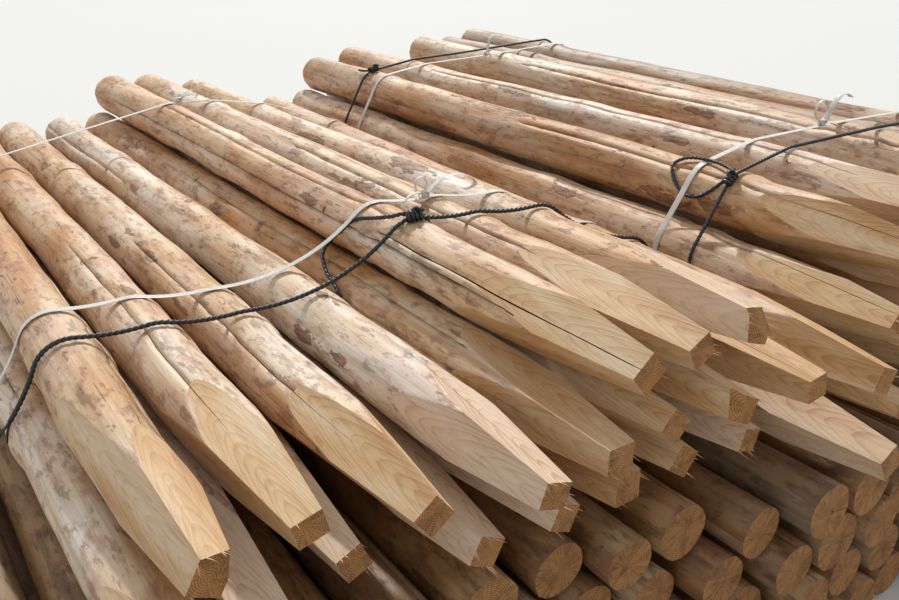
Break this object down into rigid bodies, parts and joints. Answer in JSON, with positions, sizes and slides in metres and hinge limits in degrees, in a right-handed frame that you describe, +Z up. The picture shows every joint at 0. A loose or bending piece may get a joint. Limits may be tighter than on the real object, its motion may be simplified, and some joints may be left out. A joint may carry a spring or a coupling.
{
  "type": "stack of timber posts",
  "caption": "Crowned stack of debarked timber posts with four-sided sawn points, bundled with white woven straps and black rope over a layer of turned bundles.",
  "frame": {"origin": "centre of the stack's footprint, on the floor", "axes": "+Z up, +Y along the posts towards the butts of the upper bundles, their points at -Y, +X to the right seen from the points"},
  "size_m": [2.7358, 2.7818, 0.8441],
  "materials": {
    "debarked_wood": "rough sawn and peeled",
    "strap_polyester": "woven",
    "rope_black": "laid rope"
  },
  "bodies": {
    "root": {"lower_posts": "debarked_wood", "left_posts": "debarked_wood", "right_posts": "debarked_wood", "white_straps": "strap_polyester", "black_ropes": "rope_black"}
  },
  "joints": []
}
